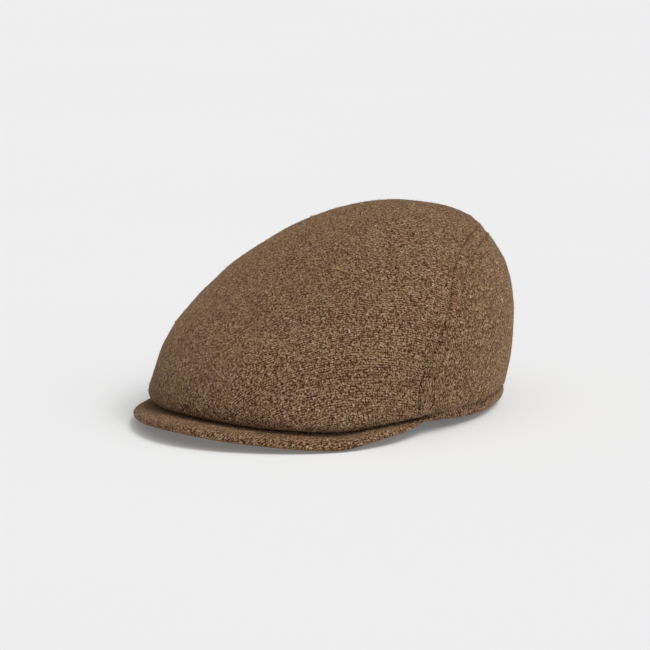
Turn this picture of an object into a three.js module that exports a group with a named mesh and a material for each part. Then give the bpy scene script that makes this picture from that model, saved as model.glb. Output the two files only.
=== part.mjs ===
// A flat cap of tweed, lying on its rim: a front-and-top panel, a back panel, a band with a
// rolled hem, and a stiff peak that the front of the crown overhangs.
// Millimetres, +Z up. The peak points along -Y and the wearer's left is +X. The origin is the
// middle of the cap's base, on the surface that it lies on.
import * as THREE from "three";

// Head opening and band
const headLength = 202;
const headWidth = 166;
const bandWall = 2;
const bandHeight = 28;
const hemWall = 4.6;
const hemHeight = 10.5;
const hemRound = 1.6;

// Crown: how far its belly stands out past the band at the front, rear and sides
const cloth = 2;
const frontFullness = 27;
const rearFullness = 2;
const sideFullness = 8;
const crownHeight = 125;
const topSetback = 35;
const squareness = 0.01;

// Lower fold of the crown, which overhangs the peak at the front and the hem behind it: its
// height, how far the cloth turns back under it, how clear it stays of the peak, and how far it
// hangs below the hem's top at the sides
const crownOverhang = 27;
const foldDepth = 6.5;
const foldTurn = 3;
const foldLift = 1.3;
const foldDrop = 5.5;

// Edge of the crown at the band: how clear its wall stays, and what shows of it where it lies flat
const tuckGap = 0.65;
const flatTuck = 0.4;

// Degrees over which the fold climbs from the peak to the hem, and by which the rim's columns
// start ahead of the crown's
const seatBlend = 30;
const rimTwist = 8;

// Peak: peakTip is what it still stands out at its ends, and peakDroop is the share of its fall
// that comes late
const peakReach = 43;
const peakThickness = 4.8;
const peakHalfAngle = 80;
const peakTip = 1.5;
const peakDroop = 0.4;
const edgeLift = 7.3;
const rootLift = 12;

// Seams
const seamGap = 0.3;
const seamFootAngle = 80;

// How fine the facets are
const frontColumns = 26;
const backColumns = 30;
const columnCrowding = 2;
const rimRows = 4;
const lowerRows = 8;
const upperRows = 10;
const peakColumns = 30;
const peakRows = 3;
const edgeSteps = 4;

const wallOut = bandWall + cloth;
const crownFront = headLength / 2 + wallOut + frontFullness;
const crownRear = headLength / 2 + wallOut + rearFullness;
const crownHalf = headWidth / 2 + wallOut + sideFullness;

// Rings of the crown from the belly up, as shares of crownFront, crownRear, crownHalf and
// crownHeight.
const crownRings = [
  { front: 1.0, rear: 0.989, half: 0.985, zFront: 0.2, zSide: 0.22, zRear: 0.22 },
  { front: 0.92, rear: 1.005, half: 1.0, zFront: 0.345, zSide: 0.4, zRear: 0.41 },
  { front: 0.765, rear: 0.985, half: 0.945, zFront: 0.49, zSide: 0.59, zRear: 0.64 },
  { front: 0.545, rear: 0.91, half: 0.78, zFront: 0.645, zSide: 0.765, zRear: 0.81 },
  { front: 0.29, rear: 0.8, half: 0.57, zFront: 0.8, zSide: 0.89, zRear: 0.915 },
  { front: 0.02, rear: 0.59, half: 0.29, zFront: 0.93, zSide: 0.965, zRear: 0.98 },
];

// Stations round the rim, in degrees from the front: how far the peak and the crown's lower
// fold stand out from the hem, as shares of peakReach and crownOverhang, how high the band's
// lower edge and the peak's edge are, as shares of rootLift and edgeLift, and how far the fold
// hangs below the hem's top, as a share of foldDrop.
const rimStations = [
  { angle: 0, peak: 1.0, fold: 1.0, band: 1.0, edge: 1.0, drop: 1.0 },
  { angle: 25, peak: 0.85, fold: 0.87, band: 0.93, edge: 0.5, drop: 1.0 },
  { angle: 45, peak: 0.68, fold: 0.69, band: 0.82, edge: 0.02, drop: 1.0 },
  { angle: 55, peak: 0.53, fold: 0.53, band: 0.79, edge: 0.42, drop: 1.0 },
  { angle: 65, peak: 0.33, fold: 0.36, band: 0.76, edge: 0.65, drop: 1.0 },
  { angle: 75, peak: 0.12, fold: 0.27, band: 0.73, edge: 0.97, drop: 1.0 },
  { angle: 82, peak: 0.02, fold: 0.22, band: 0.7, edge: 1.12, drop: 1.0 },
  { angle: 105, peak: 0.0, fold: 0.13, band: 0.47, edge: 1.1, drop: 0.7 },
  { angle: 125, peak: 0.0, fold: 0.06, band: 0.33, edge: 1.1, drop: 0.2 },
  { angle: 145, peak: 0.0, fold: 0.02, band: 0.0, edge: 1.1, drop: 0.0 },
  { angle: 180, peak: 0.0, fold: 0.02, band: 0.0, edge: 1.1, drop: 0.0 },
];

// The back panel's upper seam: how far up the crown it runs, from the rim at 0 to the top at 1.
const seamStations = [
  { angle: 80, level: 0.4 },
  { angle: 84, level: 0.53 },
  { angle: 90, level: 0.65 },
  { angle: 100, level: 0.71 },
  { angle: 120, level: 0.745 },
  { angle: 180, level: 0.755 },
];

// Soft hollows in the crown: where each one lies, how far it spreads round and up, and how deep
// it is as a share of cloth.
const softFolds = [
  { angle: 80, level: 0.44, turn: 6, rise: 0.035, depth: 0.7 },
  { angle: -80, level: 0.44, turn: 6, rise: 0.035, depth: 0.7 },
  { angle: 32, level: 0.48, turn: 13, rise: 0.06, depth: 0.5 },
  { angle: -14, level: 0.5, turn: 15, rise: 0.07, depth: 0.6 },
  { angle: -47, level: 0.62, turn: 14, rise: 0.035, depth: 0.5 },
  { angle: -52, level: 0.73, turn: 12, rise: 0.04, depth: 0.45 },
  { angle: 152, level: 0.43, turn: 18, rise: 0.07, depth: 0.6 },
];

const radians = THREE.MathUtils.degToRad;
const up = new THREE.Vector3(0, 0, 1);

// A smooth curve through one column of a table of stations.
function stationValue(stations, column, angle) {
  const last = stations.length - 1;
  const x = THREE.MathUtils.clamp(angle, stations[0].angle, stations[last].angle);
  let i = 0;
  while (i < last - 1 && x > stations[i + 1].angle) i += 1;
  const slope = (k) => {
    if (k === 0 || k === last) return 0;
    const before = stations[k - 1];
    const after = stations[k + 1];
    const here = stations[k];
    const left = (here[column] - before[column]) / (here.angle - before.angle);
    const right = (after[column] - here[column]) / (after.angle - here.angle);
    return left * right <= 0 ? 0 : (2 * left * right) / (left + right);
  };
  const a = stations[i];
  const b = stations[i + 1];
  const span = b.angle - a.angle;
  const s = (x - a.angle) / span;
  const s2 = s * s;
  const s3 = s2 * s;
  return (
    a[column] * (2 * s3 - 3 * s2 + 1) +
    slope(i) * span * (s3 - 2 * s2 + s) +
    b[column] * (3 * s2 - 2 * s3) +
    slope(i + 1) * span * (s3 - s2)
  );
}

// Degrees away from the front, from 0 to 180, on either side.
const fromFront = (angle) => Math.abs(((angle + 540) % 360) - 180);

// A point of a slightly square oval that reaches front, rear and half from the head's centre.
function oval(angle, front, rear, half) {
  const t = radians(angle);
  const sideways = (Math.sin(t) + squareness * Math.sin(3 * t)) / (1 - squareness);
  const lengthways = (Math.cos(t) - squareness * Math.cos(3 * t)) / (1 - squareness);
  return new THREE.Vector3(half * sideways, (rear - front - (front + rear) * lengthways) / 2, 0);
}

// A point that stands out by a distance from the inside of the head opening, level with it.
function offOpening(angle, out) {
  const t = radians(angle);
  const a = headLength / 2;
  const b = headWidth / 2;
  const normal = new THREE.Vector3(a * Math.sin(t), -b * Math.cos(t), 0).normalize();
  return new THREE.Vector3(b * Math.sin(t), -a * Math.cos(t), 0).addScaledVector(normal, out);
}

const bandLift = (angle) => rootLift * stationValue(rimStations, "band", fromFront(angle));
const hemTop = (angle) => bandLift(angle) + hemHeight;
const peakOut = (angle) => peakReach * stationValue(rimStations, "peak", fromFront(angle));

// Height of the peak's underside, from its root at 0 to its edge at 1. It bends down more
// steeply towards the edge.
function peakUnder(angle, share) {
  const edge = edgeLift * stationValue(rimStations, "edge", fromFront(angle));
  const bend = share * (1 - peakDroop + peakDroop * share);
  return THREE.MathUtils.lerp(bandLift(angle), edge, bend);
}

const foldOut = (angle) => crownOverhang * stationValue(rimStations, "fold", fromFront(angle));

// Height of what the lower fold clears: the peak's top, and past its ends the hem's face.
function foldSeat(angle) {
  const away = fromFront(angle);
  const share = Math.min(1, foldOut(angle) / Math.max(peakOut(angle), peakTip));
  const onPeak = peakUnder(angle, share) + peakThickness;
  const hung = hemTop(angle) - foldDrop * stationValue(rimStations, "drop", away);
  return THREE.MathUtils.lerp(
    onPeak,
    hung,
    THREE.MathUtils.smoothstep(away, peakHalfAngle - seatBlend, peakHalfAngle),
  );
}

// The crown's outer surface at one angle, from its edge at the band up to the top.
function crownSection(angle) {
  // The belly's middle lies forward of the head's, so the rim's columns start further forward.
  const rim = angle - rimTwist * Math.sin(radians(angle));
  const tuckTop = hemTop(rim) + seamGap;
  const fold = foldOut(rim);
  // Where the fold stands far out the cloth lies flat on the hem, and else it stands upright.
  const rolled = THREE.MathUtils.smoothstep(fold, cloth, 4 * cloth);
  const seat = foldSeat(rim) + THREE.MathUtils.lerp(seamGap, foldLift, rolled);
  const tuck = bandWall + tuckGap + THREE.MathUtils.lerp(cloth, flatTuck, rolled);
  const turned = hemWall + fold - foldTurn * rolled;
  const under = THREE.MathUtils.lerp(tuck, turned, (1 + rolled) / 2);
  const points = [
    offOpening(rim, tuck).setZ(tuckTop),
    offOpening(rim, under).setZ(seat + ((1 - rolled) * foldDepth) / 4),
    offOpening(rim, hemWall + fold).setZ(seat + foldDepth / 2),
  ];
  for (const ring of crownRings) {
    const front = ring.front * crownFront;
    const point = oval(angle, front, ring.rear * crownRear, ring.half * crownHalf);
    const c = Math.cos(radians(angle));
    const level = (ring.zFront + ring.zRear + 2 * ring.zSide) / 4;
    const tilt = (ring.zFront - ring.zRear) / 2;
    const arch = (ring.zFront + ring.zRear - 2 * ring.zSide) / 4;
    point.z = crownHeight * (level + tilt * c + arch * (2 * c * c - 1));
    points.push(point);
  }
  return points;
}

// The section carries on over the top and down the far side, so that the top is smooth.
const archCache = new Map();
function crownArch(angle) {
  const key = angle.toFixed(6);
  if (!archCache.has(key)) {
    const near = crownSection(angle);
    const far = crownSection(angle + 180).reverse();
    const top = new THREE.Vector3(0, topSetback, crownHeight);
    const arch = new THREE.CatmullRomCurve3([...near, top, ...far], false, "centripetal");
    archCache.set(key, arch);
  }
  return archCache.get(key);
}

// A point of the crown's outer surface. Level 0 is the edge at the band and 1 is the top.
function crownPoint(angle, level) {
  const point = crownArch(angle).getPoint(level / 2);
  let hollow = 0;
  for (const fold of softFolds) {
    const turn = (fromFront(angle - fold.angle) / fold.turn) ** 2;
    const rise = ((level - fold.level) / fold.rise) ** 2;
    hollow += fold.depth * cloth * Math.exp(-turn - rise);
  }
  const inward = new THREE.Vector3(0, 0, crownHeight / 3).sub(point).normalize();
  return point.addScaledVector(inward, hollow);
}

function crownNormal(angle, level) {
  const step = 0.4;
  const rise = 0.004;
  if (level > 1 - rise) return up.clone();
  const low = Math.max(0, level - rise);
  const across = crownPoint(angle + step, level).sub(crownPoint(angle - step, level));
  const upward = crownPoint(angle, level + rise).sub(crownPoint(angle, low));
  return across.cross(upward).normalize();
}

// A closed solid through a row of closed loops, joined into a ring or capped at both ends.
function loft(loops, ring) {
  const index = [];
  const n = loops[0].length;
  const positions = loops.flat().flatMap((p) => [p.x, p.y, p.z]);
  const spans = ring ? loops.length : loops.length - 1;
  for (let i = 0; i < spans; i += 1) {
    for (let j = 0; j < n; j += 1) {
      const a = i * n + j;
      const b = ((i + 1) % loops.length) * n + j;
      const c = ((i + 1) % loops.length) * n + ((j + 1) % n);
      const d = i * n + ((j + 1) % n);
      index.push(a, b, c, a, c, d);
    }
  }
  if (!ring) {
    const last = (loops.length - 1) * n;
    for (const [a, b, c] of THREE.ShapeUtils.triangulateShape(capOutline(loops[0]), [])) {
      index.push(a, b, c);
    }
    for (const [a, b, c] of THREE.ShapeUtils.triangulateShape(capOutline(loops.at(-1)), [])) {
      index.push(last + a, last + c, last + b);
    }
  }
  return geometryOf(positions, index);
}

// A loop laid flat: how far out each point is, and how high.
function capOutline(loop) {
  const first = loop[0];
  return loop.map((p) => new THREE.Vector2(Math.hypot(p.x - first.x, p.y - first.y), p.z));
}

function geometryOf(positions, index) {
  const geometry = new THREE.BufferGeometry();
  geometry.setAttribute("position", new THREE.Float32BufferAttribute(positions, 3));
  geometry.setIndex(index);
  geometry.computeVertexNormals();
  return geometry;
}

// The crown's grid: one row of it is the seam, and the back panel is what lies below that row
// between the two feet of the seam.
const seamRow = rimRows + lowerRows;
const topRow = seamRow + upperRows;
const columnAngles = [];
for (let i = 0; i < frontColumns; i += 1) {
  columnAngles.push(-seamFootAngle + (2 * seamFootAngle * i) / frontColumns);
}
for (let i = 0; i < backColumns; i += 1) {
  // The columns stand closer together where the seam climbs steeply.
  const half = (2 * i) / backColumns;
  const spread = half < 1 ? half ** columnCrowding : 2 - (2 - half) ** columnCrowding;
  columnAngles.push(seamFootAngle + (180 - seamFootAngle) * spread);
}
const columns = columnAngles.length;

function levelAt(angle, row) {
  const edgeLevel = 2 / (crownRings.length + 3);
  const seam = stationValue(seamStations, "level", Math.max(seamFootAngle, fromFront(angle)));
  if (row <= rimRows) return (edgeLevel * row) / rimRows;
  if (row <= seamRow) return THREE.MathUtils.lerp(edgeLevel, seam, (row - rimRows) / lowerRows);
  return THREE.MathUtils.lerp(seam, 1, (row - seamRow) / upperRows);
}

const cellCorners = [[0, 0], [1, 0], [1, 1], [0, 1]];

// A wall of cloth over some cells of the crown's grid, closed along its edges and drawn back
// from its seams by half of the gap.
function clothPanel(inPanel) {
  const outer = new Map();
  const cells = [];
  const keyOf = (i, j) => (j === topRow ? "top" : `${(i + columns) % columns},${j}`);
  const edges = new Map();
  const vertexOf = (i, j) => {
    const key = keyOf(i, j);
    if (!outer.has(key)) {
      const angle = columnAngles[(i + columns) % columns];
      const level = j === topRow ? 1 : levelAt(angle, j);
      outer.set(key, {
        point: crownPoint(angle, level),
        normal: crownNormal(angle, level),
        inset: new THREE.Vector3(),
        onRim: j === 0,
      });
    }
    return key;
  };
  for (let i = 0; i < columns; i += 1) {
    for (let j = 0; j < topRow; j += 1) {
      if (!inPanel(i, j)) continue;
      const corners = cellCorners.map(([right, rise]) => vertexOf(i + right, j + rise));
      const cell = corners.filter((key, k) => key !== corners[(k + 1) % 4]);
      cells.push(cell);
      cell.forEach((key, k) => {
        const next = cell[(k + 1) % cell.length];
        edges.set(`${key}|${next}`, [key, next]);
      });
    }
  }
  const border = [...edges.values()].filter(([a, b]) => !edges.has(`${b}|${a}`));
  for (const [a, b] of border) {
    const from = outer.get(a);
    const to = outer.get(b);
    if (from.onRim && to.onRim) continue;
    const run = to.point.clone().sub(from.point).normalize();
    from.inset.add(from.normal.clone().cross(run));
    to.inset.add(to.normal.clone().cross(run));
  }
  const ids = new Map();
  const positions = [];
  for (const [key, vertex] of outer) {
    vertex.point.addScaledVector(vertex.inset.normalize(), seamGap / 2);
    const inside = vertex.point.clone().addScaledVector(vertex.normal, -cloth);
    ids.set(key, positions.length / 3);
    positions.push(vertex.point.x, vertex.point.y, vertex.point.z);
    positions.push(inside.x, inside.y, inside.z);
  }
  const index = [];
  for (const cell of cells) {
    // Each cell is cut along its shorter diagonal.
    const [p, q, r, t] = cell.map((key) => outer.get(key).point);
    const turned = cell.length === 4 && q.distanceTo(t) < p.distanceTo(r);
    const ring = (turned ? [...cell.slice(1), cell[0]] : cell).map((key) => ids.get(key));
    for (let k = 1; k < ring.length - 1; k += 1) {
      index.push(ring[0], ring[k], ring[k + 1]);
      index.push(ring[0] + 1, ring[k + 1] + 1, ring[k] + 1);
    }
  }
  for (const [a, b] of border) {
    const from = ids.get(a);
    const to = ids.get(b);
    index.push(to, from, from + 1, to, from + 1, to + 1);
  }
  return geometryOf(positions, index);
}

// The band: a thin wall that stands inside the crown, on a thicker rolled hem.
function bandGeometry() {
  const loops = columnAngles.map((angle) => {
    const lift = bandLift(angle);
    const at = (out, z) => offOpening(angle, out).setZ(lift + z);
    return [
      at(0, 0),
      at(hemWall - hemRound, 0),
      at(hemWall, hemRound),
      at(hemWall, hemHeight - hemRound),
      at(hemWall - hemRound, hemHeight),
      at(bandWall, hemHeight),
      at(bandWall, bandHeight),
      at(0, bandHeight),
    ];
  });
  return loft(loops, true);
}

// The peak: a stiff plate with a rounded edge, bent down at its sides.
function peakGeometry() {
  const loops = [];
  const root = hemWall + seamGap;
  for (let i = 0; i <= peakColumns; i += 1) {
    const angle = peakHalfAngle * ((2 * i) / peakColumns - 1);
    const reach = Math.max(peakOut(angle) - seamGap, peakTip);
    const round = Math.min(peakThickness, reach) / 2;
    const flat = reach - round;
    const at = (out, z) => offOpening(angle, root + out).setZ(peakUnder(angle, out / reach) + z);
    const loop = [];
    for (let k = 0; k < peakRows; k += 1) loop.push(at((flat * k) / peakRows, 0));
    for (let k = 0; k <= edgeSteps; k += 1) {
      const turn = Math.PI * (k / edgeSteps - 0.5);
      loop.push(at(flat + round * Math.cos(turn), (peakThickness * (1 + Math.sin(turn))) / 2));
    }
    for (let k = peakRows - 1; k >= 0; k -= 1) loop.push(at((flat * k) / peakRows, peakThickness));
    loops.push(loop);
  }
  return loft(loops, false);
}

const tweed = () => new THREE.MeshStandardMaterial({ color: 0x6b5440, roughness: 0.95, metalness: 0 });

function piece(name, geometry) {
  const mesh = new THREE.Mesh(geometry, tweed());
  mesh.name = name;
  return mesh;
}

const behindSeam = (i) => i >= frontColumns;
const cap = new THREE.Group();
cap.add(
  piece("crown_top", clothPanel((i, j) => !behindSeam(i) || j >= seamRow)),
  piece("crown_back", clothPanel((i, j) => behindSeam(i) && j < seamRow)),
  piece("head_band", bandGeometry()),
  piece("peak", peakGeometry()),
);

// The cap is set down so that its base is at the origin.
const bounds = new THREE.Box3().setFromObject(cap);
cap.position.set(0, -(bounds.min.y + bounds.max.y) / 2, -bounds.min.z);

export default cap;
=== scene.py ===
"""A flat cap of brown wool tweed that lies on its rim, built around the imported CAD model.

The shapes repeat the CAD part's own rules, finer, and are worked out in millimetres from the
head's centre, with the peak towards -Y and the wearer's left at +X. They turn into metres, in the
CAD model's frame, where a mesh is made.
"""

import math

import bmesh
import bpy
import numpy as np
from bpy.props import FloatProperty, FloatVectorProperty, IntProperty, PointerProperty
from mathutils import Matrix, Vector, kdtree, noise


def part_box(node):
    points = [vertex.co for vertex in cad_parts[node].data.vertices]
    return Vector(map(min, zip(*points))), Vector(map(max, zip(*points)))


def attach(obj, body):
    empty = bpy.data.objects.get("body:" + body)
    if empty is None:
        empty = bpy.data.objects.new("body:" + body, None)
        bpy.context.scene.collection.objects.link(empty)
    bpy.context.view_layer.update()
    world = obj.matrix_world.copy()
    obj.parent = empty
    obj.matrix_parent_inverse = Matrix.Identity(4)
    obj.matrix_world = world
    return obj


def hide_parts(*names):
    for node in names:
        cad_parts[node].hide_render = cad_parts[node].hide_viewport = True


bl_info = {
    "name": "Tweed Flat Cap",
    "version": (1, 0, 0),
    "blender": (4, 5, 0),
    "location": "3D View > Sidebar > Flat Cap",
    "description": "Builds a tweed flat cap around its packed CAD model",
    "category": "Object",
}

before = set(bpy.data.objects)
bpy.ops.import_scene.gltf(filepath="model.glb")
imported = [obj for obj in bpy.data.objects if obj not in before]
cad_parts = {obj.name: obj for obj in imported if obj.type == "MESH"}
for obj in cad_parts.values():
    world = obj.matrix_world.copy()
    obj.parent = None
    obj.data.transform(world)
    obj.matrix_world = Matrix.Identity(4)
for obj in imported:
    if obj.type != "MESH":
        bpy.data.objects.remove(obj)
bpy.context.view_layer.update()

MM = 1000.0
BODY = "root"
CLOTH_MAP = "cloth"
OUTER_FACE = "outer_face"
# Where the back panel's seam meets the rim, in degrees from the front.
BACK_PANEL_FOOT = 80.0
# How far a panel's edge draws back at a seam, in millimetres, so that two never share a wall.
SEAM_HAIR = 0.04
# A Wave texture's Scale is this over the distance from one band to the next, in metres.
WAVE_METRES = 0.31416
# The photograph's width in pixels, and its pixels for each millimetre at the cap.
PHOTO_WIDTH, PHOTO_SCALE = 650, 1.64

# Stations round the rim, in degrees from the front. At each one, as shares of a size: how far the
# peak and the crown's lower fold stand out from the hem, how high the hem's lower edge and the
# peak's edge are, how far the fold hangs below the hem's top and sinks of its own weight, and how
# far the hem's lower edge curls in.
RIM_STOPS = (0, 25, 45, 55, 65, 75, 82, 105, 125, 145, 180)
RIM_PEAK = (1, 0.85, 0.68, 0.53, 0.33, 0.12, 0.02, 0, 0, 0, 0)
RIM_FOLD = (1, 0.91, 0.76, 0.58, 0.37, 0.27, 0.22, 0.13, 0.06, 0.02, 0.02)
RIM_BAND = (1, 0.93, 0.82, 0.79, 0.76, 0.73, 0.7, 0.47, 0.33, 0, 0)
RIM_EDGE = (1, 0.5, 0.02, 0.42, 0.65, 0.97, 1.12, 1.1, 1.1, 1.1, 1.1)
RIM_DROP = (1, 1, 1, 1, 1, 1, 1, 0.7, 0.2, 0, 0)
RIM_SINK = (0.6, 0.5, 0.1, 0.6, 1.15, 1.2, 0.8, 0.15, 0, 0, 0)
RIM_CURL = (0, 0, 0, 0, 0, 0, 0.1, 0.5, 1, 1, 0.4)

# The back panel's upper seam: how far up the crown it runs, from the rim at 0 to the top at 1.
SEAM_STOPS = (80, 84, 90, 100, 120, 180)
SEAM_LEVEL = (0.4, 0.53, 0.65, 0.71, 0.745, 0.755)

# Rings of the crown from the belly up: shares of its front, rear and half width, and of its
# height at the front, side and rear.
CROWN_RINGS = (
    (1.0, 0.989, 0.985, 0.2, 0.22, 0.22),
    (0.92, 1.005, 1.0, 0.345, 0.4, 0.41),
    (0.765, 0.985, 0.945, 0.49, 0.59, 0.64),
    (0.545, 0.91, 0.78, 0.645, 0.765, 0.81),
    (0.29, 0.8, 0.57, 0.8, 0.89, 0.915),
    (0.02, 0.59, 0.29, 0.93, 0.965, 0.98),
)

# The level of the lower fold: each crown section has three points at the rim, and then the rings.
FOLD_LEVEL = 2 / (len(CROWN_RINGS) + 3)

# The cloth's slack over the crown: height of its waves in millimetres, their size, and a seed.
SLACK = ((0.9, 38.0, 3), (0.45, 15.0, 5), (0.12, 6.0, 7))

# Where the studio's wide soft light and its key light come from, and where the camera stands:
# degrees round from the peak, towards the wearer's left, and up.
SOFT_LIGHT = (90, 58)
SOFT_STRENGTH = 0.94
KEY_LIGHT = (106, 58)
KEY_STRENGTH, KEY_SPREAD = 1.56, 30
CAMERA = (45, 10.5)
CAMERA_DISTANCE, CAMERA_TARGET = 1.6, (0, 0, 0.054)

# The hem's roll: where its middle lies, as a share of its height, and in millimetres how far it
# bulges and, where it stands clear of the floor, sags at most.
HEM_WAIST, HEM_BULGE, HEM_SAG = 0.56, 0.25, 1.8

# The peak's top cover is pressed to a share of the thickness under the fold and is full further
# out, between two shares of its reach. Past an angle the peak thins, from above and from below.
PEAK_PRESSED, PEAK_FULL = 0.5, (0.48, 0.92)
PEAK_THIN_FROM, PEAK_THINNING, PEAK_THIN_RISE = 45, 0.66, 0.13

# Relief beside the seam, in millimetres: height, distance and half width of the ridge; depth and
# half width of the topstitched groove; height and reach of the puckers.
SEAM_RIDGE = (0.35, 3.0, 1.8)
TOPSTITCH_GROOVE = (0.7, 0.9)
PUCKERS = (0.5, 6.0)

# Edges sharper than this many degrees are shaded as edges.
SHARP_EDGE = 50

# Soft hollows in the crown, and swells where the depth is negative: angle, level, how far each
# spreads round and up, and its depth as a share of the cloth's thickness.
SOFT_FOLDS = (
    (45, 0.27, 22, 0.08, -1.0),
    (-45, 0.27, 22, 0.08, -1.0),
    (78, 0.36, 4, 0.03, 0.7),
    (-78, 0.36, 4, 0.03, 0.7),
    (83, 0.45, 5, 0.03, 0.6),
    (-83, 0.45, 5, 0.03, 0.6),
    (32, 0.48, 13, 0.06, 0.5),
    (-14, 0.5, 15, 0.07, 0.6),
    (-47, 0.6, 12, 0.03, 0.6),
    (-52, 0.71, 11, 0.03, 0.5),
    (152, 0.43, 18, 0.07, 0.6),
)


def colour(label, text, code):
    return FloatVectorProperty(
        name=label, description=text, default=linear(code), subtype="COLOR", size=3, min=0, max=1
    )


def linear(code):
    """A linear colour from an sRGB hex code."""
    parts = (int(code[i : i + 2], 16) / 255 for i in (1, 3, 5))
    return tuple(c / 12.92 if c <= 0.04045 else ((c + 0.055) / 1.055) ** 2.4 for c in parts)


# The cap's sizes in metres.
SIZES = {
    "cloth": (0.002, "Thickness of the tweed"),
    "band_wall": (0.002, "Thickness of the band inside the crown"),
    "band_height": (0.028, "Height of the band from the hem's lower edge"),
    "hem_wall": (0.0046, "Thickness of the rolled hem"),
    "hem_height": (0.0105, "Height of the rolled hem"),
    "hem_round": (0.0024, "How far the hem's outer face is rounded"),
    "front_fullness": (0.027, "How far the crown stands out in front"),
    "rear_fullness": (0.002, "How far the crown stands out behind"),
    "side_fullness": (0.008, "How far the crown stands out at a side"),
    "crown_height": (0.125, "Height of the crown's top"),
    "top_setback": (0.035, "How far behind the head's centre the top lies"),
    "crown_overhang": (0.027, "How far the lower fold overhangs the peak"),
    "fold_depth": (0.0065, "Height of the crown's lower fold"),
    "fold_turn": (0.003, "How far the cloth turns back under the fold"),
    "fold_lift": (0.0013, "How clear the fold stays of the peak"),
    "fold_drop": (0.0055, "How far the fold hangs below the hem's top"),
    "fold_sink": (0.0024, "How far the soft fold sinks towards the peak"),
    "tuck_gap": (0.00065, "How clear the crown's edge stays of the band"),
    "flat_tuck": (0.0004, "What shows of the crown's edge where it lies flat"),
    "peak_reach": (0.043, "How far the peak stands out in front"),
    "peak_thickness": (0.0048, "Thickness of the covered peak"),
    "peak_tip": (0.0015, "What the peak still stands out at its ends"),
    "edge_lift": (0.0073, "Height of the peak's edge in front"),
    "root_lift": (0.012, "Height of the hem's lower edge in front"),
    "hem_curl": (0.0032, "How far the hem curls in under the back corners"),
    "seam_gap": (0.0003, "How far neighbouring pieces stay apart"),
    "seam_valley": (0.0013, "Depth of the valley along the panels' seam"),
    "seam_width": (0.0008, "Half width of that valley"),
    "topstitch_offset": (0.008, "Distance of the topstitching from it"),
    "stitch_length": (0.0026, "Length of one stitch"),
    "stitch_pitch": (0.0032, "Distance from one stitch to the next"),
    "thread_radius": (0.00028, "Radius of the sewing thread"),
    "nap_length": (0.0014, "Length of a loose fibre on the cloth"),
}


class FlatCapSizes(bpy.types.PropertyGroup):
    __annotations__ = {
        name: FloatProperty(
            name=name.replace("_", " ").capitalize(), description=text, default=size,
            unit="LENGTH", precision=5,
        )
        for name, (size, text) in SIZES.items()
    }
    nap_fibres: IntProperty(
        name="Nap fibres", description="How many loose fibres stand up", default=7000, min=0
    )
    nubs: IntProperty(
        name="Nubs", description="How many coloured nubs of wool show", default=110, min=0
    )


class FlatCapColours(bpy.types.PropertyGroup):
    mauve: colour("Mauve brown", "The redder patches of the cloth", "#653F2C")
    brown: colour("Brown", "The cloth's main colour", "#634225")
    olive: colour("Olive tan", "The yellower patches of the cloth", "#664D20")
    dark_yarn: colour("Dark yarn", "The darkest fibres", "#2F1904")
    light_yarn: colour("Light yarn", "The lightest fibres", "#AE9075")
    straw: colour("Straw nubs", "Yellow nubs of wool", "#B99A4E")
    rust: colour("Rust nubs", "Orange nubs of wool", "#B27A40")
    cream: colour("Cream nubs", "Pale nubs of wool", "#CDBBA0")
    thread: colour("Thread", "The sewing thread", "#21150B")
    floor: colour("Floor", "The studio floor", "#E0E0E0")


# Shapes


def smooth_through(stops, values, x):
    """A monotone cubic through the stops, level at its ends."""
    stops, values = np.asarray(stops, float), np.asarray(values, float)
    x = np.clip(x, stops[0], stops[-1])
    steps = np.diff(values) / np.diff(stops)
    before, after = steps[:-1], steps[1:]
    same_way = before * after > 0
    total = np.where(same_way, before + after, 1)
    slopes = np.zeros(len(stops))
    slopes[1:-1] = np.where(same_way, 2 * before * after / total, 0)
    i = np.clip(np.searchsorted(stops, x) - 1, 0, len(stops) - 2)
    span = stops[i + 1] - stops[i]
    s = (x - stops[i]) / span
    return (
        values[i] * (2 * s**3 - 3 * s**2 + 1)
        + slopes[i] * span * (s**3 - 2 * s**2 + s)
        + values[i + 1] * (3 * s**2 - 2 * s**3)
        + slopes[i + 1] * span * (s**3 - s**2)
    )


def from_front(angle):
    """Degrees away from the front, from 0 to 180, on either side."""
    return np.abs((angle + 540) % 360 - 180)


def blend(low, high, share):
    return low + (high - low) * share


def smooth_step(x, low, high):
    s = np.clip((x - low) / (high - low), 0, 1)
    return s * s * (3 - 2 * s)


def unit(vectors):
    return vectors / np.maximum(np.linalg.norm(vectors, axis=-1, keepdims=True), 1e-9)


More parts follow.
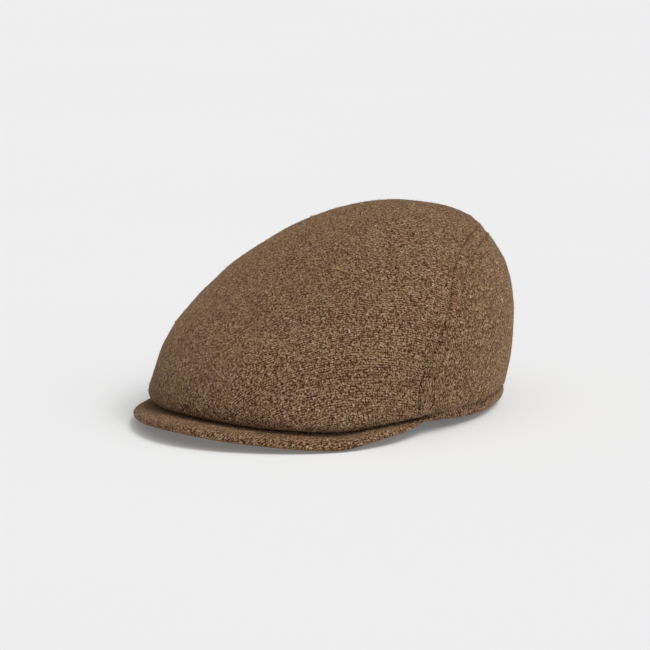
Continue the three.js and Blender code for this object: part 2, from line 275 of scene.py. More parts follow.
class CapShape:
    """The cap's surfaces in millimetres, from its sizes and the CAD band's place."""

    SQUARENESS = 0.01
    PEAK_HALF_ANGLE = 80
    PEAK_DROOP = 0.4
    SEAT_BLEND = 30
    RIM_TWIST = 8

    def __init__(self):
        sizes = bpy.context.scene.flat_cap_sizes
        for name in FlatCapSizes.__annotations__:
            value = getattr(sizes, name)
            setattr(self, name, value * MM if isinstance(value, float) else value)
        low, high = (np.array(corner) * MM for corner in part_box("head_band"))
        self.head_width = high[0] - low[0] - 2 * self.hem_wall
        self.head_length = high[1] - low[1] - 2 * self.hem_wall
        self.place = np.array([0, (low[1] + high[1]) / 2, low[2]])
        wall_out = self.band_wall + self.cloth
        self.crown_front = self.head_length / 2 + wall_out + self.front_fullness
        self.crown_rear = self.head_length / 2 + wall_out + self.rear_fullness
        self.crown_half = self.head_width / 2 + wall_out + self.side_fullness

    def rim(self, size, shares, angle):
        """A size at each angle, by its shares at the rim's stations."""
        return size * smooth_through(RIM_STOPS, shares, from_front(angle))

    def oval(self, angle, front, rear, half):
        t = np.radians(angle)
        sideways = (np.sin(t) + self.SQUARENESS * np.sin(3 * t)) / (1 - self.SQUARENESS)
        lengthways = (np.cos(t) - self.SQUARENESS * np.cos(3 * t)) / (1 - self.SQUARENESS)
        return half * sideways, (rear - front - (front + rear) * lengthways) / 2

    def off_opening(self, angle, out, z):
        """Points that stand out by a distance from the inside of the head opening."""
        t = np.radians(angle)
        a, b = self.head_length / 2, self.head_width / 2
        run = np.hypot(a * np.sin(t), b * np.cos(t))
        x = b * np.sin(t) + out * a * np.sin(t) / run
        y = -a * np.cos(t) - out * b * np.cos(t) / run
        return np.stack(np.broadcast_arrays(x, y, z), axis=-1)

    def band_lift(self, angle):
        return self.rim(self.root_lift, RIM_BAND, angle)

    def peak_out(self, angle):
        return self.rim(self.peak_reach, RIM_PEAK, angle)

    def fold_out(self, angle):
        return self.rim(self.crown_overhang, RIM_FOLD, angle)

    def peak_under(self, angle, share):
        """Height of the peak's underside, from its root at 0 to its edge at 1."""
        edge = self.rim(self.edge_lift, RIM_EDGE, angle)
        bend = share * (1 - self.PEAK_DROOP + self.PEAK_DROOP * share)
        return blend(self.band_lift(angle), edge, bend)

    def fold_seat(self, angle):
        """Height of what the lower fold clears: the peak's top and, past its ends, the hem."""
        reach = np.maximum(self.peak_out(angle), self.peak_tip)
        share = np.minimum(1, self.fold_out(angle) / reach)
        on_peak = self.peak_under(angle, share) + self.peak_thickness
        end = self.PEAK_HALF_ANGLE
        past = smooth_step(from_front(angle), end - self.SEAT_BLEND, end)
        hung = self.band_lift(angle) + self.hem_height - self.rim(self.fold_drop, RIM_DROP, angle)
        return blend(on_peak, hung, past) - self.rim(self.fold_sink, RIM_SINK, angle)

    def crown_section(self, angle):
        """The crown's outer surface at each angle, from its edge at the band to its last ring."""
        rim = angle - self.RIM_TWIST * np.sin(np.radians(angle))
        fold = self.fold_out(rim)
        rolled = smooth_step(fold, self.cloth, 4 * self.cloth)
        seat = self.fold_seat(rim) + blend(self.seam_gap, self.fold_lift, rolled)
        tuck = self.band_wall + self.tuck_gap + blend(self.cloth, self.flat_tuck, rolled)
        turned = self.hem_wall + fold - self.fold_turn * rolled
        under = blend(tuck, turned, (1 + rolled) / 2)
        hem_top = self.band_lift(rim) + self.hem_height
        points = [
            self.off_opening(rim, tuck, hem_top + self.seam_gap),
            self.off_opening(rim, under, seat + (1 - rolled) * self.fold_depth / 4),
            self.off_opening(rim, self.hem_wall + fold, seat + self.fold_depth / 2),
        ]
        c = np.cos(np.radians(angle))
        for front, rear, half, z_front, z_side, z_rear in CROWN_RINGS:
            x, y = self.oval(
                angle, front * self.crown_front, rear * self.crown_rear, half * self.crown_half
            )
            level = (z_front + z_rear + 2 * z_side) / 4
            tilt = (z_front - z_rear) / 2
            arch = (z_front + z_rear - 2 * z_side) / 4
            z = self.crown_height * (level + tilt * c + arch * (2 * c * c - 1))
            points.append(np.stack([x, y, z], axis=-1))
        return np.stack(points, axis=-2)

    def crown_points(self, angle, level):
        """The crown's outer surface: angles (n) by levels (n, m), from the rim at 0 to the top.

        Each section is a centripetal spline that carries on over the top and down the far side.
        """
        near = self.crown_section(angle)
        top = np.broadcast_to([0, self.top_setback, self.crown_height], (len(angle), 1, 3))
        far = self.crown_section(angle + 180)[:, -1:]
        before = 2 * near[:, :1] - near[:, 1:2]
        knots = np.concatenate([before, near, top, far], axis=1)
        spans = near.shape[1]
        k = np.clip(np.floor(level * spans).astype(int), 0, spans - 1)
        s = (level * spans - k)[..., None]
        column = np.arange(len(angle))[:, None]
        p0, p1, p2, p3 = (knots[column, k + step] for step in range(4))
        t0, t1, t2 = (
            np.sqrt(np.linalg.norm(b - a, axis=-1, keepdims=True))
            for a, b in ((p0, p1), (p1, p2), (p2, p3))
        )
        leave = ((p1 - p0) / t0 - (p2 - p0) / (t0 + t1) + (p2 - p1) / t1) * t1
        arrive = ((p2 - p1) / t1 - (p3 - p1) / (t1 + t2) + (p3 - p2) / t2) * t1
        points = (
            p1
            + leave * s
            + (3 * (p2 - p1) - 2 * leave - arrive) * s**2
            + (2 * (p1 - p2) + leave + arrive) * s**3
        )
        hollow = np.zeros(level.shape)
        for at, height, turn, rise, depth in SOFT_FOLDS:
            away = (from_front(angle[:, None] - at) / turn) ** 2 + ((level - height) / rise) ** 2
            hollow += depth * self.cloth * np.exp(-away)
        inward = unit(np.array([0, 0, self.crown_height / 3]) - points)
        return points + inward * hollow[..., None]

    def seam_level(self, angle):
        return smooth_through(
            SEAM_STOPS, SEAM_LEVEL, np.maximum(BACK_PANEL_FOOT, from_front(angle))
        )


def crowded(count, near):
    """Steps from 0 to 1 that start at a share of the even spacing."""
    x = np.linspace(0, 1, count + 1)
    return near * x + (1 - near) * x * x


class CrownGrid:
    """A fine grid over the crown. One of its rows is the back panel's upper seam, and two of its
    columns are that seam's feet."""

    FRONT, BACK, RIM, LOWER, UPPER = 105, 120, 15, 68, 48

    def __init__(self, shape):
        self.shape = shape
        foot = BACK_PANEL_FOOT
        front = foot * (1 - crowded(self.FRONT, 0.3))[::-1]
        back = foot + (180 - foot) * crowded(self.BACK, 0.25)
        right = np.concatenate([front, back[1:-1]])
        self.angle = np.concatenate([right, [180], -right[:0:-1]]) % 360
        self.columns = len(self.angle)
        self.seam_row = self.RIM + self.LOWER
        self.top_row = self.seam_row + self.UPPER
        seam = shape.seam_level(self.angle)[:, None]
        rim = np.concatenate([np.linspace(0, 0.5, 6)[:-1], np.linspace(0.5, 1, self.RIM - 4)])
        lower = 1 - crowded(self.LOWER, 0.35)[::-1][1:]
        upper = crowded(self.UPPER, 0.35)[1:]
        self.level = np.hstack(
            [
                np.broadcast_to(FOLD_LEVEL * rim, (self.columns, len(rim))),
                FOLD_LEVEL + (seam - FOLD_LEVEL) * lower, seam + (1 - seam) * upper,
            ]
        )
        self.base = shape.crown_points(self.angle, self.level)
        self.normal = self.normals(self.base)
        self.behind = from_front(self.angle) >= foot - 1e-6
        self.seam_distance, self.seam_run = self.measure_seam()
        self.points = self.base + self.normal * self.relief()[..., None]
        self.points[:, -1] = self.points[:, -1].mean(axis=0)
        self.normal = self.normals(self.points)

    def normals(self, points):
        across = np.roll(points, -1, axis=0) - np.roll(points, 1, axis=0)
        upward = np.gradient(points, axis=1)
        found = unit(np.cross(across, upward))
        found[:, -1] = (0, 0, 1)
        return found

    def seam_line(self):
        """The seam from the left foot at the rim, over the back, to the right foot."""
        left, right = (
            int(np.argmin(np.abs(self.angle - foot)))
            for foot in (BACK_PANEL_FOOT, 360 - BACK_PANEL_FOOT)
        )
        row = self.seam_row
        rise, over = [(left, j) for j in range(row)], [(i, row) for i in range(left, right + 1)]
        return np.array(rise + over + [(right, j) for j in range(row - 1, -1, -1)])

    def measure_seam(self):
        """Each point's distance from the seam, positive on the back panel, and where along it."""
        line = self.base[tuple(self.seam_line().T)]
        dense, runs = (
            np.concatenate([blend(row[:-1], row[1:], s) for s in (0, 0.25, 0.5, 0.75)])
            for row in (line, run_length(line))
        )
        tree = kdtree.KDTree(len(dense))
        for i, point in enumerate(dense):
            tree.insert(point, i)
        tree.balance()
        found = [tree.find(point) for point in self.base.reshape(-1, 3)]
        distance = np.array([f[2] for f in found]).reshape(self.level.shape)
        along = runs[[f[1] for f in found]].reshape(self.level.shape)
        rows = np.arange(self.level.shape[1])
        on_back = self.behind[:, None] & (rows <= self.seam_row)
        return np.where(on_back, distance, -distance), along

    def relief(self):
        """How far the cloth rises and falls from the CAD surface, in millimetres."""
        shape = self.shape
        d, run = self.seam_distance, self.seam_run
        away = np.abs(d)
        # The seam is pulled in unevenly, so that it shows in some places more than in others.
        pull = 0.75 + 0.5 * wander(np.stack([run / 26, 0 * d, 0 * d], axis=-1), 1.0, 13)
        lift = -shape.seam_valley * pull * np.exp(-((away / shape.seam_width) ** 2))
        height, at, width = SEAM_RIDGE
        lift += height * np.exp(-(((away - at) / width) ** 2))
        depth, width = TOPSTITCH_GROOVE
        lift -= depth * np.exp(-(((d - shape.topstitch_offset) / width) ** 2))
        puckers = wander(np.stack([run / 6, np.sign(d) * 3, 0 * d], axis=-1), 1.0, 11)
        height, reach = PUCKERS
        lift += height * puckers * np.exp(-((away / reach) ** 2)) * smooth_step(away, 0.5, 2.5)
        # The relief and the cloth's slack fade out where the crown is tucked in at the rim.
        slack = sum(height * wander(self.base, size, seed) for height, size, seed in SLACK)
        lift *= smooth_step(self.level, 0.3 * FOLD_LEVEL, FOLD_LEVEL)
        return lift + slack * smooth_step(self.level, 0.8 * FOLD_LEVEL, 2 * FOLD_LEVEL)


def wander(points, size, seed):
    """Smooth noise of about -1 to 1 with features of a given size."""
    offset = Vector((seed * 17.3, seed * 5.1, seed * 9.7))
    flat = (points / size).reshape(-1, 3)
    values = [noise.noise(Vector(p) + offset) for p in flat]
    return np.array(values).reshape(points.shape[:-1])


# Meshes


def add_object(name, data):
    thing = bpy.data.objects.new(name, data)
    bpy.context.scene.collection.objects.link(thing)
    return thing


def new_piece(name, points, faces, map_points, map_faces, outer):
    """A mesh object from points in millimetres, with a cloth map in real size."""
    mesh = bpy.data.meshes.new(name)
    mesh.from_pydata((np.asarray(points) / MM).tolist(), [], faces)
    corners = np.concatenate([np.asarray(f) for f in map_faces])
    layer = mesh.uv_layers.new(name=CLOTH_MAP)
    layer.uv.foreach_set("vector", (np.asarray(map_points)[corners] / MM).ravel())
    shown = mesh.attributes.new(OUTER_FACE, "BOOLEAN", "FACE")
    shown.data.foreach_set("value", np.asarray(outer, bool))
    mesh.polygons.foreach_set("use_smooth", np.ones(len(faces), bool))
    mesh.set_sharp_from_angle(angle=math.radians(SHARP_EDGE))
    mesh.validate()
    return add_object(name, mesh)


def dress(piece, slot, material, *nodes):
    """Gives a finished piece its material and its body, and hides the CAD nodes it stands for. The
    slot is not used.
    """
    piece.data.materials.clear()
    piece.data.materials.append(material)
    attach(piece, BODY)
    if nodes:
        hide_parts(*nodes)


def lean_map(u, v, degrees):
    """A cloth map turned clockwise."""
    c, s = math.cos(math.radians(degrees)), math.sin(math.radians(degrees))
    return u * c + v * s, v * c - u * s


def top_map(grid):
    """The top panel's cloth map, unrolled from the crown's top. The twill's ribs follow v, which
    runs diagonally across the cap, as on cloth that is cut along its length."""
    steps = np.linalg.norm(np.diff(grid.base, axis=1), axis=-1)
    down = np.concatenate([np.cumsum(steps[:, ::-1], axis=1)[:, ::-1], 0 * steps[:, :1]], axis=1)
    out = unit(grid.base[..., :2] - [0, grid.shape.top_setback]) * down[..., None]
    return np.stack(lean_map(out[..., 0], out[..., 1], -40), axis=-1)


def back_map(grid):
    """The back panel's cloth map: u runs round the cap and v up it, so that the ribs stand."""
    x, y, z = np.moveaxis(grid.base, -1, 0)
    out = np.hypot(x, y)
    return np.stack([np.arctan2(x, y) * (out + 100) / 2, z + (100 - out) / 2], axis=-1)


def panel(name, grid, in_panel, cloth_map):
    """A closed wall of cloth over part of the crown's grid."""
    shape = grid.shape
    columns, top = grid.columns, grid.top_row
    number = np.full((columns, top + 1), -1)
    i, j = np.nonzero(in_panel)
    # The columns close into a ring, and all of them meet in one point at the top.
    corners = np.stack([i, j], -1)[:, None] + [(0, 0), (1, 0), (1, 1), (0, 1)]
    corners[..., 0] = np.where(corners[..., 1] == top, 0, corners[..., 0] % columns)
    used = np.unique(corners.reshape(-1, 2), axis=0)
    number[used[:, 0], used[:, 1]] = np.arange(len(used))
    quads = number[corners[..., 0], corners[..., 1]]
    faces = [tuple(q) if q[2] != q[3] else tuple(q[:3]) for q in quads.tolist()]
    edges = {pair: True for face in faces for pair in zip(face, face[1:] + face[:1])}
    border = [(a, b) for a, b in edges if (b, a) not in edges]
    points, normals, flat_map = (
        values[used[:, 0], used[:, 1]] for values in (grid.points, grid.normal, cloth_map)
    )
    on_rim = used[:, 1] == 0
    back = np.zeros_like(points)
    for a, b in border:
        if not (on_rim[a] and on_rim[b]):
            step = np.cross(normals[a], unit(points[b] - points[a]))
            back[a] += step
            back[b] += step
    points = points + unit(back) * SEAM_HAIR
    inside = points - normals * shape.cloth
    count = len(points)
    faces_in = [tuple(v + count for v in reversed(face)) for face in faces]
    walls = [(b, a, a + count, b + count) for a, b in border]
    everything = faces + faces_in + walls
    return new_piece(
        name, np.concatenate([points, inside]) + shape.place, everything,
        np.concatenate([flat_map, flat_map]), everything,
        [True] * len(faces) + [False] * (len(faces_in) + len(walls)),
    )


def swept(name, shape, loops, map_u, map_v, ring, outer_columns):
    """A closed skin through a row of loops (n, m, 3), joined into a ring or capped."""
    n, m = loops.shape[:2]
    spans = n if ring else n - 1
    i, j = np.meshgrid(np.arange(spans), np.arange(m), indexing="ij")
    # The map has one more row each way, so that it doesn't run back across the last face.
    wide = m + 1
    faces, maps = (
        [
            tuple(face)
            for face in np.stack(
                [i * row + j, far_i * row + j, far_i * row + far_j, i * row + far_j], axis=-1
            ).reshape(-1, 4).tolist()
        ]
        for row, far_i, far_j in ((m, (i + 1) % n, (j + 1) % m), (wide, i + 1, j + 1))
    )
    map_points = np.stack([map_u, map_v], axis=-1).reshape(-1, 2)
    outer = np.broadcast_to(outer_columns, (spans, m)).ravel().tolist()
    if not ring:
        for row, turned in ((0, False), (n - 1, True)):
            cap = list(range(row * m, row * m + m))
            cap_map = [row * wide + k for k in range(m)]
            faces.append(tuple(cap if turned else cap[::-1]))
            maps.append(tuple(cap_map if turned else cap_map[::-1]))
            outer.append(False)
    return new_piece(name, loops.reshape(-1, 3) + shape.place, faces, map_points, maps, outer)


def arc(centre_out, centre_z, radius, start, end, steps):
    """Points of an arc in a section, as (out, z), with angles in degrees from outwards."""
    t = np.radians(np.linspace(start, end, steps))
    return np.stack([centre_out + radius * np.cos(t), centre_z + radius * np.sin(t)], axis=-1)


def run_length(points):
    """How far along a line each of its points lies."""
    steps = np.linalg.norm(np.diff(points, axis=0), axis=-1)
    return np.concatenate([np.zeros((1,) + steps.shape[1:]), np.cumsum(steps, axis=0)])


def build_band(shape):
    """The band: a thin wall that stands inside the crown, on a thicker rolled hem."""
    angle = np.linspace(0, 360, 360, endpoint=False)
    r, wall, height = shape.hem_round, shape.hem_wall, shape.hem_height
    inner, lip = 0.8, shape.band_wall / 2
    # The roll is fullest above its middle and draws in towards its lower edge.
    turn = np.radians(np.linspace(-90, 90, 19))
    waist = HEM_WAIST * height
    roll = np.stack(
        [
            wall - r + (r + HEM_BULGE) * np.cos(turn) ** 0.75,
            waist + np.where(turn < 0, waist, height - waist) * np.sin(turn),
        ], axis=-1,
    )
    section = np.concatenate(
        [
            arc(inner, inner, inner, 180, 270, 4), roll,
            [[shape.band_wall + 0.5, height], [shape.band_wall, height + 0.3]],
            [[shape.band_wall, z] for z in np.linspace(height + 3, shape.band_height - 2, 6)],
            arc(lip, shape.band_height - lip, lip, 0, 180, 7),
            [[0, z] for z in np.linspace(shape.band_height - 3, inner + 3, 9)],
        ]
    )
    out = np.broadcast_to(section[:, 0], (len(angle), len(section))).copy()
    lift = shape.band_lift(angle)[:, None]
    # Where the hem stands clear of the floor, its roll sags a little.
    sag = np.minimum(HEM_SAG, 0.3 * lift) * np.clip(1 - section[:, 1] / height, 0, 1)
    z = section[:, 1] + lift - sag
    t = np.radians(angle)[:, None]
    on_hem = (section[:, 1] < height - 0.1) & (section[:, 0] > 1)
    ripple = 0.1 * np.sin(23 * t + 1.3 * np.sin(5 * t)) + 0.06 * np.sin(61 * t)
    curl = shape.rim(shape.hem_curl, RIM_CURL, angle)[:, None]
    out += ripple * on_hem - curl * np.clip(1 - section[:, 1] / height, 0, 1) ** 2
    loops = shape.off_opening(angle[:, None], out, z)
    across = run_length(np.concatenate([section, section[:1]]))
    around = np.linspace(0, 1, len(angle) + 1) * np.pi * (shape.head_length + shape.head_width) / 2
    u, v = np.meshgrid(around, across, indexing="ij")
    clear = on_hem & (section[:, 1] > 2.5)
    # The hem is cut on the bias, so its ribs lean.
    return swept("band_and_hem", shape, loops, *lean_map(u, v, 35), True, clear)


def build_peak(shape):
    """The peak: a stiff plate covered in cloth, with a soft rounded edge."""
    half = shape.PEAK_HALF_ANGLE
    angle = np.linspace(-half, half, 241)
    root = shape.hem_wall + shape.seam_gap
    reach = np.maximum(shape.peak_out(angle) - shape.seam_gap, shape.peak_tip)
    thick = shape.peak_thickness
    round_out = np.minimum(thick, reach) / 2
    flat = reach - round_out
    rows, steps = 16, 15
    loops = [(flat * (k / rows), 0 * flat) for k in range(rows)]
    for turn in np.linspace(-np.pi / 2, np.pi / 2, steps):
        # A shallow groove under the edge, where the two covers meet.
        groove = 0.35 * math.exp(-(((turn + 0.75) / 0.22) ** 2))
        loops.append(
            (
                flat + (round_out - groove) * math.cos(turn),
                thick * (1 + math.sin(turn)) / 2 + groove * 0.5 + 0 * flat,
            )
        )
    for k in range(rows - 1, -1, -1):
        # The top cover is pressed down under the crown's fold and is full towards the edge.
        full = blend(PEAK_PRESSED, 1, smooth_step(flat * k / rows / reach, *PEAK_FULL))
        loops.append((flat * k / rows, thick * full))
    out = np.stack([o for o, _ in loops], axis=-1)
    lift = np.stack([z for _, z in loops], axis=-1)
    thin = smooth_step(np.abs(angle), PEAK_THIN_FROM, half)[:, None]
    lift = lift * (1 - PEAK_THINNING * thin) + PEAK_THIN_RISE * thick * thin
    share = out / reach[:, None]
    z = shape.peak_under(angle[:, None], share) + lift
    points = shape.off_opening(angle[:, None], root + out, z)
    # The covers are slack by a little between the root and the edge.
    soft = 0.22 * wander(points, 24.0, 21) + 0.08 * wander(points, 7.0, 23)
    points[..., 2] += soft * np.sin(np.pi * np.clip(share, 0, 1)) ** 0.5 * (lift > 0)
    closed = np.concatenate([points, points[:, :1]], axis=1)
    across = run_length(np.swapaxes(closed, 0, 1)).T
    # Each cover's cloth lies flat from the peak's root; the upper one turns over the edge.
    below = np.arange(across.shape[1]) < rows + 4
    from_root = np.where(below, across, across[:, -1:] - across)
    flat_x, flat_y, _ = np.moveaxis(shape.off_opening(angle[:, None], root + from_root, 0), -1, 0)
    outer = np.arange(closed.shape[1] - 1) >= rows + 6
    return swept("peak_cover", shape, points, *lean_map(flat_x, flat_y, -20), False, outer)


# Materials and node trees


def fill(tree, node, links):
    """Sets a node's inputs: to values, or to links from sockets or from nodes' first outputs."""
    for key, value in links.items():
        if isinstance(value, bpy.types.Node):
            value = value.outputs[0]
        if isinstance(value, bpy.types.NodeSocket):
            tree.links.new(value, node.inputs[key])
        else:
            node.inputs[key].default_value = value


def add_node(tree, kind, links=None, stops=(), **settings):
    """Adds a node with its links, its settings and, if it is a colour ramp, its stops."""
    node = tree.nodes.new(kind)
    for key, value in settings.items():
        setattr(node, key, value)
    if stops:
        elements = node.color_ramp.elements
        while len(elements) < len(stops):
            elements.new(0.5)
        for element, (position, shade) in zip(elements, stops):
            element.position, element.color = position, shade
    fill(tree, node, links or {})
    return node


def greys(*stops):
    """A ramp's stops, each given as a position and how light it is."""
    return [(position, (light, light, light, 1.0)) for position, light in stops]


def made_of(name, build, *values):
    """The material of that name. When it is new, build adds its nodes and returns what its
    shader's inputs get."""
    material = bpy.data.materials.get(name)
    if material is None:
        material = bpy.data.materials.new(name)
        material.use_nodes = True
        tree = material.node_tree
        fill(tree, tree.nodes["Principled BSDF"], build(tree, *values))
    return material


def tweed(tree, colours):
    """Brown wool tweed, woven in a fine twill from mottled yarn and lightly milled.

    The eye gets salt-and-pepper speckle from light and dark fibres and from painted shade, darker
    in the weave's hollows and lighter on its crests, soft patches that lean to mauve or olive, low
    ribs, rare pale hairs, a dull surface and a faint bloom at the edges.
    """
    place = add_node(tree, "ShaderNodeTexCoord").outputs["Object"]
    cloth = add_node(tree, "ShaderNodeUVMap", uv_map=CLOTH_MAP)
    # Soft patches of dyed wool, some 12 mm and some 4 mm across.
    wide, narrow = (
        add_node(tree, "ShaderNodeTexNoise", {"Vector": place, "Scale": scale, "Detail": 2.0})
        for scale in (80.0, 230.0)
    )
    both = add_node(tree, "ShaderNodeMath", {0: wide, 1: narrow}, operation="ADD")
    patches = add_node(tree, "ShaderNodeMath", {0: both, 1: 0.5}, operation="MULTIPLY")
    shades = [(0.38, colours["mauve"]), (0.5, colours["brown"]), (0.62, colours["olive"])]
    body = add_node(tree, "ShaderNodeValToRGB", {"Fac": patches}, shades)
    # Ribs of the twill, really 1.2 mm apart, are drawn 1.5 mm apart, so that they show.
    ribs = add_node(
        tree, "ShaderNodeTexWave", {
            "Vector": cloth, "Scale": WAVE_METRES / 0.0015, "Distortion": 2.2, "Detail": 1.0,
            "Detail Scale": 1.5, "Detail Roughness": 0.6,
        },
    )
    # The yarn's tufts, 1.4 mm apart and ragged, each in light or dark fibres of about 0.5 mm.
    along = add_node(tree, "ShaderNodeMapping", {"Vector": cloth, "Scale": (1.0, 0.75, 1.0)})
    fuzz = add_node(tree, "ShaderNodeTexNoise", {"Vector": cloth, "Scale": 1700.0, "Detail": 1.0})
    ragged = add_node(
        tree, "ShaderNodeVectorMath",
        {0: fuzz.outputs["Color"], 1: (0.0016, 0.0016, 0.0), 2: along}, operation="MULTIPLY_ADD",
    )
    tufts, fibres = (
        add_node(
            tree, "ShaderNodeTexVoronoi", {"Vector": ragged, "Scale": scale, "Randomness": jitter},
            voronoi_dimensions="2D",
        )
        for scale, jitter in ((720.0, 0.7), (2150.0, 1.0))
    )
    random_fibre, random_tuft = (
        add_node(tree, "ShaderNodeSeparateColor", {"Color": cells.outputs["Color"]})
        for cells in (fibres, tufts)
    )
    # How light each spot is: its fibre and the patch, which are the cloth's own colour, and the
    # rib and how near it is to a tuft's middle, which paint shade into the hollows and light onto
    # the crests.
    # The bump reads the same tone.
    weights = ((random_fibre, 0.52), (ribs.outputs["Fac"], 0.15), (patches, 0.14), (tufts, -0.46))
    tone_with_painted_shade, *others = (
        add_node(tree, "ShaderNodeMath", {0: value, 1: weight}, operation="MULTIPLY")
        for value, weight in weights
    )
    for other in (*others, 0.3):
        tone_with_painted_shade = add_node(tree, "ShaderNodeMath", {0: tone_with_painted_shade, 1: other}, operation="ADD")
    # Low tone takes the dark yarn and high tone the light yarn: dark and light fibres, with
    # painted shade in the hollows and a painted highlight on the crests.
    pepper_and_painted_shade, salt_and_painted_highlight = (
        add_node(tree, "ShaderNodeValToRGB", {"Fac": tone_with_painted_shade}, stops)
        for stops in (greys((0.28, 1.0), (0.49, 0.0)), greys((0.52, 0.0), (0.74, 1.0)))
    )
    # One tuft in thirty is a pale, coarse hair.
    hair = add_node(
        tree, "ShaderNodeMath", {0: random_tuft.outputs["Green"], 1: 0.967},
        operation="GREATER_THAN",
    )
    near = add_node(tree, "ShaderNodeMath", {0: tufts, 1: 0.36}, operation="LESS_THAN")
    for other in (near, 0.6):
        hair = add_node(tree, "ShaderNodeMath", {0: hair, 1: other}, operation="MULTIPLY")
    for share, yarn in ((pepper_and_painted_shade, "dark_yarn"), (salt_and_painted_highlight, "light_yarn"), (hair, "cream")):
        links = {0: share, 6: body, 7: colours[yarn]}
        body = add_node(tree, "ShaderNodeMix", links, data_type="RGBA").outputs[2]
    return {
        "Base Color": body, "Roughness": 0.95, "IOR": 1.54, "Specular IOR Level": 0.12,
        "Sheen Weight": 0.44, "Sheen Roughness": 0.36, "Sheen Tint": (*linear("#C2A074"), 1.0),
        "Normal": add_node(
            tree, "ShaderNodeBump", {"Height": tone_with_painted_shade, "Distance": 0.0005, "Strength": 0.75}
        ),
    }


def sewing_thread(tree, colours):
    """Dark polyester sewing thread, spun from two plies: a dull sheen broken by its twist, painted
    into its colour as lighter bands, a painted highlight on each ply.
    """
    twist = add_node(
        tree, "ShaderNodeTexWave", {
            "Vector": add_node(tree, "ShaderNodeTexCoord").outputs["Object"],
            "Scale": WAVE_METRES / 0.0005, "Distortion": 1.0,
        }, bands_direction="DIAGONAL",
    ).outputs["Fac"]
    # A brighter copy of the thread's colour, laid along the crests of the twist as a painted
    # highlight.
    painted_highlight = [min(1, 1.7 * c) for c in colours["thread"]]
    shades = [(0.1, colours["thread"]), (0.9, painted_highlight)]
    return {
        "Base Color": add_node(tree, "ShaderNodeValToRGB", {"Fac": twist}, shades),
        "Roughness": 0.75, "IOR": 1.55, "Specular IOR Level": 0.15, "Normal": add_node(
            tree, "ShaderNodeBump", {"Height": twist, "Distance": 0.00006, "Strength": 0.5}
        ),
    }


def loose_wool(tree, stops):
    """Loose wool fibres that have worked out of the yarn: dull, each in one dyed shade."""
    pick = add_node(tree, "ShaderNodeAttribute", attribute_name="shade")
    place = add_node(tree, "ShaderNodeTexCoord").outputs["Object"]
    mottle = add_node(
        tree, "ShaderNodeTexNoise", {"Vector": place, "Scale": 2500.0, "Detail": 1.0}
    )
    dyed = add_node(tree, "ShaderNodeValToRGB", {"Fac": pick.outputs["Fac"]}, stops)
    dyed.color_ramp.interpolation = "CONSTANT"
    links = {0: 0.35, 6: dyed, 7: mottle.outputs["Color"]}
    body = add_node(tree, "ShaderNodeMix", links, data_type="RGBA", blend_type="MULTIPLY")
    return {"Base Color": body.outputs[2], "Roughness": 0.9, "IOR": 1.54, "Sheen Weight": 0.2}


def opal_acrylic(tree, colours):
    """Opal acrylic, sanded matt and lit weakly from below: even and pale, so that what lies on
    it throws a faint shadow."""
    place = add_node(tree, "ShaderNodeTexCoord").outputs["Object"]
    grain = add_node(tree, "ShaderNodeTexNoise", {"Vector": place, "Scale": 2.0})
    pale = [min(1, 1.01 * c) for c in colours["floor"]]
    shades = [(0.3, colours["floor"]), (0.7, pale)]
    return {
        "Base Color": add_node(tree, "ShaderNodeValToRGB", {"Fac": grain}, shades),
        "Roughness": 1.0, "Specular IOR Level": 0.0, "Emission Color": (1.0, 1.0, 1.0, 1.0),
        "Emission Strength": 0.14,
    }


def node_group(name, **inputs):
    """A Geometry Nodes tree with a geometry input and output and named inputs for its sizes."""
    tree = bpy.data.node_groups.new(name, "GeometryNodeTree")
    sockets = [("Geometry", "INPUT", "Geometry"), ("Geometry", "OUTPUT", "Geometry")]
    sockets += [(label, "INPUT", kind) for label, kind in inputs.items()]
    for label, way, kind in sockets:
        tree.interface.new_socket(label, in_out=way, socket_type="NodeSocket" + kind)
    return tree, add_node(tree, "NodeGroupInput").outputs


def bent_strand(tree, length, radius, base, rises, steps, sides):
    """A round strand along X. Its start, middle and end stand at shares of a base size."""
    ends = []
    for along, rise in zip((-0.5, 0.0, 0.5), rises):
        x, z = (
            add_node(tree, "ShaderNodeMath", {0: size, 1: share}, operation="MULTIPLY")
            for size, share in ((length, along), (base, rise))
        )
        ends.append(add_node(tree, "ShaderNodeCombineXYZ", {"X": x, "Z": z}))
    links = dict(zip(("Start", "Middle", "End"), ends), Resolution=steps)
    path = add_node(tree, "GeometryNodeCurveQuadraticBezier", links)
    links = {"Resolution": sides, "Radius": radius}
    section = add_node(tree, "GeometryNodeCurvePrimitiveCircle", links)
    links = {"Curve": path, "Profile Curve": section, "Fill Caps": True}
    return add_node(tree, "GeometryNodeCurveToMesh", links)


def close_group(tree, material, links):
    """Ends a tree: what stands on its points becomes real and gets its material."""
    placed = add_node(tree, "GeometryNodeInstanceOnPoints", links)
    real = add_node(tree, "GeometryNodeRealizeInstances", {"Geometry": placed})
    worn = add_node(tree, "GeometryNodeSetMaterial", {"Geometry": real, "Material": material})
    add_node(tree, "NodeGroupOutput", {"Geometry": worn})
    return tree


def run_nodes(carrier, tree, name, **values):
    """Runs a tree on a carrier object and returns its result as a plain mesh object."""
    modifier = carrier.modifiers.new(tree.name, "NODES")
    modifier.node_group = tree
    for item in tree.interface.items_tree:
        if item.in_out == "INPUT" and item.name in values:
            modifier[item.identifier] = values[item.name]
    view = bpy.context.evaluated_depsgraph_get()
    mesh = bpy.data.meshes.new_from_object(carrier.evaluated_get(view), depsgraph=view)
    carrier.modifiers.remove(modifier)
    mesh.name = name
    return add_object(name, mesh)


